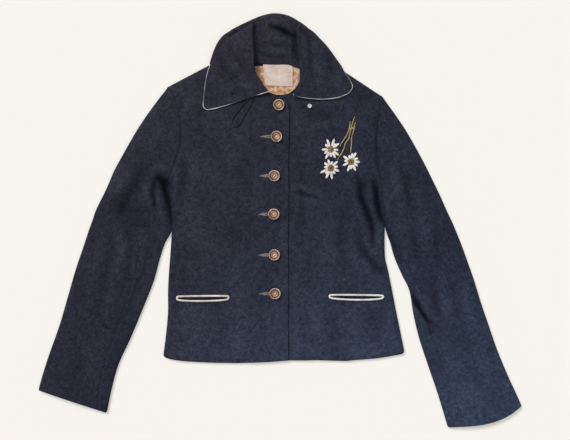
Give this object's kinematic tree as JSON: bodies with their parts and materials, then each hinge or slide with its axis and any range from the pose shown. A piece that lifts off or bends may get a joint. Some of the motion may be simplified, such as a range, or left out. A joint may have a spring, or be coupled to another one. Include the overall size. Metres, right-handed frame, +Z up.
{
  "type": "loden jacket",
  "caption": "Short fitted wool jacket laid flat, with a wide turned-down collar, a row of horn buttons, piped slit pockets and an embroidered edelweiss posy.",
  "frame": {"origin": "centre of the bounding box at its base, where the jacket lies on the floor", "axes": "+X to the wearer's left sleeve, +Y from the hem to the neck, +Z up out of the front of the jacket laid on its back"},
  "size_m": [0.8787, 0.7545, 0.0211],
  "materials": {
    "loden": "matt fulled wool, dark navy",
    "loden_inside": "matt wool in shade",
    "piping": "matt cream cord piping",
    "brocade": "gold satin brocade",
    "woven_label": "bare woven label, pinkish white",
    "horn": "polished brown horn with a paler rim",
    "pale_button": "polished pale button",
    "white_thread": "white embroidery wool with a yellow-brown eye",
    "stem_thread": "olive-gold embroidery thread"
  },
  "bodies": {
    "root": {"back": "loden", "back_neck_lining": "brocade", "button_1": "horn", "button_2": "horn", "button_3": "horn", "button_4": "horn", "button_5": "horn", "button_6": "horn", "collar_back": "loden", "collar_leaf_left": "loden", "collar_leaf_right": "loden", "collar_piping_left": "piping", "collar_piping_right": "piping", "edelweiss_1": "white_thread", "edelweiss_2": "white_thread", "edelweiss_3": "white_thread", "edelweiss_stems": "stem_thread", "front_left": "loden", "front_right": "loden", "label": "woven_label", "neck_button": "pale_button", "neck_loop": "loden", "pocket_facing_left": "loden_inside", "pocket_facing_right": "loden_inside", "pocket_piping_left": "piping", "pocket_piping_right": "piping", "sleeve_left_under": "loden", "sleeve_left_upper": "loden", "sleeve_right_under": "loden", "sleeve_right_upper": "loden"}
  },
  "joints": []
}
